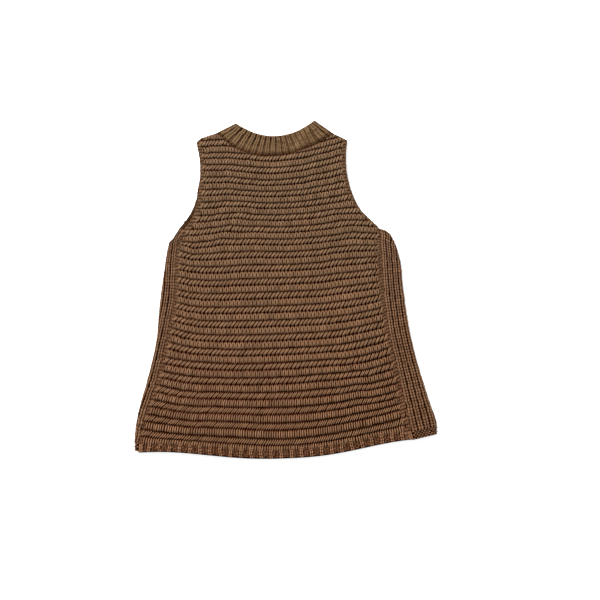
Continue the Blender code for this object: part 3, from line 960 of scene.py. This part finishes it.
def ridge_lift(share, number):
    ridge = np.abs(np.sin(np.pi * number)) ** RIDGE_ROUNDNESS
    crest = np.where(np.floor(number) % 2 == 1, RIDGE_CREST["round"], RIDGE_CREST["slanted"])
    closed = CLOSED_GROOVE * (1 + np.cos(np.pi * number)) / 2
    welt_groove = WELT_GROOVE * np.exp(-((number - LAST_GROOVE + 1) / WELT_GROOVE_REACH) ** 2)
    deeper = deepening(GROUND_DEEPENS, number) + welt_groove
    inside = smoothstep(np.minimum(share, 1 - share) / CLOTH_EDGE)
    return -BASE_SINK - deeper + closed + (crest - closed) * ridge * inside


def rib_lift(rib, row):
    low, rise = SIDE_GROUND
    hem = smoothstep(row - SIDE_ROWS + SIDE_HEM_ROWS + 0.5)
    ribs = np.abs(np.sin(np.pi * rib)) ** RIB_ROUNDNESS
    return -BASE_SINK + low + rise * np.maximum(ribs, SIDE_HEM_RISE * hem)


def band_lift(rib, row):
    return -BASE_SINK + BAND_RISE * np.abs(np.cos(np.pi * rib)) ** RIB_ROUNDNESS


def steps(first, last, count):
    return np.linspace(first, last, count + 1)


def cloth_below(top, end_of, span):
    """Keep the cloth's faces that reach below a limit."""

    def keep(share, number):
        x = end_of("left", number) + share * span(number)
        return course_height(number, x) < top(x)

    return keep


def shaded(shade):
    return lambda wale, number: shade


def knit_edges():
    """Lengthwise columns along both edges of the back, one to three side by side."""
    leg = model_stitch(EDGE_COLUMN, EDGE_TALL, EDGE_LEGS, EDGE_YARN)
    yarn = []
    for side in BOTH_SIDES:
        spots = {}
        for row in np.arange(-8, 2 * LAST_GROOVE + 2) + 0.5:
            columns = max(int(round(float(edge_strip[side](row / 2)) / EDGE_COLUMN)), 1)
            places = [((column + EDGE_INSET) / columns, row) for column in range(columns)]
            spots.setdefault(columns, []).extend(spot for spot in places if below_top(side, *spot))
        for columns, places in spots.items():
            yarn += knit(
                leg._replace(wide=columns * EDGE_COLUMN), places, place_edge(side),
                lambda row, side=side: edge_strip[side](row / 2), EDGE_TALL, mirrored=side == "right",
            )
    return yarn


def knit_welt():
    """The hem's ribs, with two short purls side by side in each hollow between them."""
    leg = model_stitch(*WELT_SIZE, LEGS, RIB_YARN)
    purl = model_stitch(*WELT_PURL_SIZE, WELT_PURL, EDGE_YARN)
    legs = grid_spots(np.arange(1, WELT_RIBS), np.arange(-1, WELT_ROWS) + 0.5)
    legs += grid_spots((END_RIB, WELT_RIBS - END_RIB), np.arange(WELT_ROWS) + 0.5)
    hollows = np.arange(WELT_PURL_START, WELT_RIBS, 1.0)
    hollows = np.concatenate([hollows, hollows + WELT_PURL_APART])
    purls = grid_spots(hollows, np.arange(2 * WELT_ROWS - 1) / 2 + 0.4)
    # Painted light brightens the welt's legs and purls
    yarn = knit(leg, legs, place_welt, WELT_PITCH, WELT_SIZE.tall, shaded(WELT_LEG_SHADE))
    return yarn + knit(purl, purls, place_welt, WELT_PITCH, WELT_SIZE.tall, shaded(WELT_PURL_SHADE))


def knit_back():
    slanted = model_stitch(*BODY_SIZE, SLANTED, YARN, swell=0.84)
    rounded = model_stitch(*BODY_SIZE, ROUND, YARN, swell=1.05)
    margins = {side: lambda number, side=side: edge_strip[side](number) - 0.5 for side in BOTH_SIDES}
    upper = body_spots(-4, back_end, back_top, wale_width, margins, spare=1)
    lower = body_spots(-5, back_end, back_top, wale_width, margins)
    low_row = [spot for spot in lower if spot[1] == LAST_GROOVE - 1]
    lower = [spot for spot in lower if spot[1] < LAST_GROOVE - 1]
    low_stitch = rounded._replace(tall=rounded.tall / LAST_RIDGE_SQUEEZE)
    edges = knit_edges() + knit_welt()
    cloth = lay_cloth(
        "back_cloth", steps(0, 1, 54), steps(FIRST_GROOVE, HEM_EDGE, 5 * (HEM_EDGE - FIRST_GROOVE)),
        place_share(place_back, back_span, wale_width), ridge_lift, CLOTH_WALL,
        cloth_below(back_top, back_end, back_span),
    )
    return cloth, [
        join_yarn("back_slanted_stitches", knit(slanted, upper, place_back, wale_width, course_tall)),
        join_yarn(
            "back_round_stitches",
            knit(rounded, lower, place_back, wale_width, course_tall)
            + knit(low_stitch, low_row, place_back, wale_width, course_tall),
        ),
        join_yarn("back_edge_stitches", edges),
    ]


def below_top(side, column, row):
    x, y, _, _ = place_edge(side)(column, row, 0.0)
    return y < back_top(x) - EDGE_TOP_MARGIN


def place_peek(share, row, lift):
    """Columns along the edge of the front that shows past the back's left armhole: its inner face."""
    number = row / 2
    x = front_end("left", number) + share * PEEK_STRIP
    return x, course_height(number, x), FRONT_WALL - PEEK_DROP + lift, lift


def knit_front():
    """The front, whose stitches keep four of their stations, because they are pressed flat."""
    slanted, rounded = (
        model_stitch(*BODY_SIZE, [[strand[i] for i in (0, 2, 3, 5)] for strand in strands], YARN, sides=4)
        for strands in (SLANTED, ROUND)
    )
    margins = {side: lambda number, side=side: FRONT_MARGINS[side] for side in BOTH_SIDES}
    upper = body_spots(-4, front_end, front_top, front_wale_width, margins)
    lower = body_spots(-5, front_end, front_top, front_wale_width, margins)
    edge_leg = model_stitch(PEEK_STRIP, EDGE_TALL, EDGE_LEGS, EDGE_YARN)
    spots = grid_spots(PEEK_COLUMNS, np.arange(PEEK_FIRST_ROW, 2 * ARM_COURSE + 1) + 0.5)
    # Painted shade darkens these columns
    peek = knit(edge_leg, spots, place_peek, PEEK_STRIP, EDGE_TALL, shaded(-PEEK_SHADE))
    cloth = lay_cloth(
        "front_cloth", steps(0, 1, 30), steps(FIRST_GROOVE, HEM_EDGE, 2 * (HEM_EDGE - FIRST_GROOVE)),
        place_share(place_front, front_span, front_wale_width),
        lambda share, number: np.full(share.shape, FRONT_GROUND), FRONT_GROUND_WALL,
        cloth_below(front_top, front_end, front_span),
    )
    return cloth, [
        join_yarn(
            "front_slanted_stitches",
            knit(slanted, upper, place_front, front_wale_width, course_tall, mirrored=True) + peek,
        ),
        join_yarn(
            "front_round_stitches",
            knit(rounded, lower, place_front, front_wale_width, course_tall, mirrored=True),
        ),
    ]


def knit_side(side):
    leg = model_stitch(*SIDE_SIZE, SIDE_LEGS, SIDE_YARN, swell=1.35)
    purl = model_stitch(*SIDE_SIZE, PURL, RIB_YARN)
    bar = model_stitch(*SIDE_SIZE, HEM_BAR, RIB_YARN)
    place = place_side(side)
    tall = (SIDE_TOP[side] - SIDE_HEM[side]) / SIDE_ROWS
    hem_row = SIDE_ROWS - SIDE_HEM_ROWS
    legs = grid_spots(np.arange(SIDE_RIBS) + 0.5, np.arange(hem_row) + 0.5)
    purls = grid_spots(np.arange(1, SIDE_RIBS), np.arange(hem_row) + 0.5)
    bars = []
    for i, row in enumerate(np.arange(hem_row + HEM_BAR_START, SIDE_ROWS, HEM_BAR_ROWS)):
        bars += grid_spots(np.arange(HEM_BAR_WIDE / 2 * (1 + i % 2), SIDE_RIBS, HEM_BAR_WIDE), [row])

    def width(row):
        return side_width(SIDE_TOP[side] - row * tall) / SIDE_RIBS

    columns = steps(0, SIDE_RIBS, 6 * SIDE_RIBS)
    columns = columns[::-1] if side == "left" else columns      # so that its outer face looks outwards
    cloth = lay_cloth("side_cloth_" + side, columns, steps(0, SIDE_ROWS, 48), place, rib_lift, CLOTH_WALL)
    mirrored = side == "left"
    yarn = knit(leg, legs, place, width, tall, mirrored=mirrored)
    yarn += knit(purl, purls, place, width, tall, mirrored=mirrored)
    # Painted light brightens the hem's bars
    yarn += knit(bar, bars, place, width, tall, shaded(HEM_BAR_SHADE), mirrored)
    return cloth, [join_yarn("side_stitches_" + side, yarn)]


def seam_shade(rib, row):
    """Painted shade on the band's last row, which lies deep in the seam, as if in the shade of the ridge
    below.
    """
    return -SEAM_SHADE * smoothstep((row - BAND_ROWS + 1.3) / 0.9)


def knit_band(half, place, ribs, pitch):
    leg = model_stitch(*BAND_SIZE, BAND_LEGS, BAND_YARN, swell=1.45)
    purl = model_stitch(*BAND_SIZE, BAND_PURL, BAND_PURL_YARN)
    link = model_stitch(*BAND_SIZE, LINK, EDGE_YARN)
    legs = grid_spots([END_RIB, *range(1, ribs), ribs - END_RIB], np.arange(BAND_ROWS) + 0.5)
    purls = grid_spots(np.arange(ribs) + 0.5, np.arange(2 * BAND_ROWS) / 2 + 0.4)
    rows = (*range(BAND_ROWS + 1), BAND_ROWS + SEAM_TUCK)
    cloth = lay_cloth("neck_cloth_" + half, steps(0, ribs, 6 * ribs), rows, place, band_lift, CLOTH_WALL)
    links = grid_spots(np.arange(END_RIB, ribs - END_RIB / 2, LINK_APART), [LINK_ROW])
    yarn = []
    for stitch, spots in ((leg, legs), (purl, purls), (link, links)):
        # Painted shade darkens the stitches at the seam
        yarn += knit(stitch, spots, place, pitch, BAND_SIZE.tall, seam_shade, half == "front")
    return cloth, [join_yarn("neck_stitches_" + half, yarn)]


# ---- materials


def linear(code):
    """An sRGB hex colour as linear values."""
    shares = [int(code[i:i + 2], 16) / 255 for i in (0, 2, 4)]
    return tuple(c / 12.92 if c <= 0.04045 else ((c + 0.055) / 1.055) ** 2.4 for c in shares)


def add_node(tree, kind, settings=(), **inputs):
    """Add a node; an input is set to its value, or linked where it is another node's socket."""
    node = tree.nodes.new("ShaderNode" + kind)
    for name, value in dict(settings).items():
        setattr(node, name, value)
    for name, value in inputs.items():
        socket = node.inputs[int(name[1:])] if name[1:].isdigit() else node.inputs[name.replace("_", " ")]
        if isinstance(value, bpy.types.NodeSocket):
            tree.links.new(value, socket)
        else:
            socket.default_value = value
    return node


def math_node(tree, operation, first, second=0.0, third=0.0):
    return add_node(tree, "Math", {"operation": operation}, _0=first, _1=second, _2=third).outputs[0]


def lift_ramp(tree, low, high):
    """A share that rises from 0 to 1 with the height over the groove's foot, in millimetres."""
    lift = add_node(tree, "Attribute", {"attribute_name": "lift"}).outputs["Fac"]
    return add_node(tree, "MapRange", Value=lift, From_Min=low, From_Max=high).outputs["Result"]


def mix_colours(tree, share, first, second, blend="MIX"):
    node = add_node(tree, "Mix", {"data_type": "RGBA", "blend_type": blend}, _0=share, _6=first, _7=second)
    return node.outputs[2]


def plain_material(name, **settings):
    """A new material, its node tree, and its shader with these settings."""
    material = bpy.data.materials.new(name)
    material.use_nodes = True
    tree = material.node_tree
    shader = tree.nodes["Principled BSDF"]
    for socket, value in settings.items():
        shader.inputs[socket.replace("_", " ")].default_value = value
    return material, tree, shader


def noise_of(tree, where, size, detail):
    """Noise whose spots measure so many millimetres."""
    return add_node(tree, "TexNoise", Vector=where, Scale=1 / (size * MM), Detail=detail).outputs["Fac"]


DYE_SPOT = 36.0         # the dye took unevenly over patches of this size
OLIVE_ABOVE = 180.0     # and drifts from olive at the neck to red at the hem
RED_BELOW = -220.0
DYE_UNEVEN = 0.9
SHADE_STEP = 0.09       # what one step of shade adds to a stitch's brightness: its random tone, and the painted light and painted shade that some pieces give it
FIBRE_SPOT = 0.7        # fibres, drawn coarser than they are so that they show
GROUND_FIBRE_SPOT = 1.1
PLY_TURNS = 2           # how often the ply winds round a strand
DEEP_LIFT = -2.4        # painted shade: yarn this low takes the deep colour in full, and at the crest none of it
CREST_LIFT = 1.7


def spun_yarn(name, olive, rosy, deep):
    """Soft spun wool-mix yarn, piece-dyed brown: matt, with a faint halo of fibres, redder to the hem, and
    with painted shade where it lies low.
    """
    material, tree, shader = plain_material(
        name, Roughness=0.9, Sheen_Weight=0.12, Sheen_Roughness=0.6, Sheen_Tint=(*linear("8a6a48"), 1),
        Specular_IOR_Level=0.0,
    )
    where = add_node(tree, "TexCoord").outputs["Object"]
    noise = noise_of(tree, where, DYE_SPOT, 2.0)
    along_vest = add_node(tree, "SeparateXYZ", Vector=where).outputs["Y"]
    drift = add_node(
        tree, "MapRange", Value=along_vest, From_Min=OLIVE_ABOVE * MM, From_Max=RED_BELOW * MM
    ).outputs["Result"]
    drift = math_node(tree, "MULTIPLY_ADD", math_node(tree, "SUBTRACT", noise, 0.5), DYE_UNEVEN, drift)
    drift = add_node(tree, "Clamp", Value=drift).outputs["Result"]
    face = mix_colours(tree, drift, (*linear(olive), 1), (*linear(rosy), 1))
    # Painted shade: the colour turns to the deep one as the yarn lies lower
    face = mix_colours(tree, lift_ramp(tree, DEEP_LIFT, CREST_LIFT), (*linear(deep), 1), face)
    # Random tone per stitch, with painted light and painted shade added by some pieces
    shade = add_node(tree, "Attribute", {"attribute_name": "shade"}).outputs["Fac"]
    bright = math_node(tree, "MULTIPLY_ADD", shade, SHADE_STEP, 1.0)
    grey = add_node(tree, "CombineXYZ", X=bright, Y=bright, Z=bright).outputs[0]
    tree.links.new(mix_colours(tree, 1.0, face, grey, "MULTIPLY"), shader.inputs["Base Color"])
    split = add_node(tree, "SeparateXYZ", Vector=add_node(tree, "UVMap", {"uv_map": "yarn"}).outputs["UV"])
    turn = math_node(tree, "ADD", split.outputs["X"], split.outputs["Y"])
    ply = math_node(tree, "SINE", math_node(tree, "MULTIPLY", turn, 2 * math.pi * PLY_TURNS))
    relief = math_node(tree, "MULTIPLY_ADD", ply, 0.35, noise_of(tree, where, FIBRE_SPOT, 3.0))
    bump = add_node(tree, "Bump", Height=relief, Strength=0.7, Distance=0.6 * MM)
    tree.links.new(bump.outputs["Normal"], shader.inputs["Normal"])
    return material


def knit_ground(name, brown, dark):
    """Same yarn seen between the stitches, deep in the cloth, coloured darker than the stitches as painted
    shade, and darker still where it lies lower.
    """
    material, tree, shader = plain_material(name, Roughness=0.95, Specular_IOR_Level=0.0)
    where = add_node(tree, "TexCoord").outputs["Object"]
    # Painted shade: the colour turns to the dark one as the cloth lies lower
    face = mix_colours(tree, lift_ramp(tree, -2.0, 1.0), (*linear(dark), 1), (*linear(brown), 1))
    tree.links.new(face, shader.inputs["Base Color"])
    fibre = noise_of(tree, where, GROUND_FIBRE_SPOT, 2.0)
    bump = add_node(tree, "Bump", Height=fibre, Strength=0.5, Distance=0.5 * MM)
    tree.links.new(bump.outputs["Normal"], shader.inputs["Normal"])
    return material


# Each yarn's last colour is painted shade, for yarn that lies low in the knit
YARNS = {
    # The olive at the neck is a little darker and the red at the hem a little brighter: painted shade and
    # painted light that even out the lamp's fall-off towards the hem
    "body_knit": spun_yarn("body_wool_yarn", "614c39", "6a4d38", "340a00"),
    "side_rib_knit": spun_yarn("side_wool_yarn", "624937", "604633", "280800"),
    "neck_rib_knit": spun_yarn("neck_wool_yarn", "54422e", "54422e", "2e0e00"),
}
# The ground's browns are painted shade, darker than the yarn of the stitches
GROUND = knit_ground("wool_ground_painted_shade", "35210f", "1e0a00")


def finish_piece(node, slot, cloth, stitches, flat, area):
    """Put a maker's piece in place of its solid: its ground cloth and its stitches."""
    cloth.data.materials.clear()
    cloth.data.materials.append(GROUND)
    for piece in stitches:
        piece.data.materials.append(YARNS[slot])
    for piece in [cloth] + stitches:
        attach(piece, "root")
        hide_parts(node)


finish_piece("back_panel", "body_knit", *knit_back(), (0.472, 0.57), 0.208)
finish_piece("front_panel", "body_knit", *knit_front(), (0.466, 0.57), 0.19)
for side in BOTH_SIDES:
    finish_piece("side_panel_" + side, "side_rib_knit", *knit_side(side), (0.078, 0.392), 0.026)
finish_piece(
    "neck_band_back", "neck_rib_knit",
    *knit_band("back", place_band_back, NECK_RIBS, lambda row: BAND_PITCH + BAND_PITCH_GROWS * row),
    (0.21, 0.036), 0.0075,
)
finish_piece(
    "neck_band_front", "neck_rib_knit",
    *knit_band("front", place_band_front, FRONT_BAND_RIBS, FRONT_BAND_PITCH), (0.3, 0.036), 0.0099,
)

# ---- camera, floor and light

CAMERA_TURN = math.radians(-2.2)
CAMERA_CENTRE = (0.0338, -0.0184)       # metres, straight below the camera
VIEW_WIDTH = 1.05                       # metres of floor in the frame
LENS = 85.0
SENSOR = 36.0
FLOOR_SIZE = 12
camera = bpy.data.objects.new("camera", bpy.data.cameras.new("camera"))
bpy.context.scene.collection.objects.link(camera)
camera.data.lens = LENS
camera.data.sensor_width = SENSOR
camera.location = (*CAMERA_CENTRE, VIEW_WIDTH * LENS / SENSOR)
camera.rotation_euler = (0, 0, CAMERA_TURN)
camera.data.clip_end = 50
bpy.context.scene.camera = camera

bpy.ops.mesh.primitive_plane_add(size=FLOOR_SIZE, location=(0, 0, 0))
floor = bpy.context.object
floor.name = "floor"
paper, _, _ = plain_material(
    "white_paper", Base_Color=(0.65, 0.65, 0.65, 1), Roughness=0.9, Emission_Color=(1, 1, 1, 1),
    Emission_Strength=0.6,
)
floor.data.materials.append(paper)

scene = bpy.context.scene
scene.view_settings.view_transform = "Standard"
world = scene.world or bpy.data.worlds.new("studio")
scene.world = world
world.use_nodes = True
sky = world.node_tree.nodes["Background"]
sky.inputs["Color"].default_value = (1, 1, 1, 1)
sky.inputs["Strength"].default_value = 0.75
lamp = bpy.data.objects.new("key", bpy.data.lights.new("key", "AREA"))
lamp.data.size = 1.8
lamp.data.energy = 720
lamp.location = (-1.9, 3.2, 2.8)
lamp.rotation_euler = (math.radians(-48), math.radians(-26), 0)
bpy.context.scene.collection.objects.link(lamp)
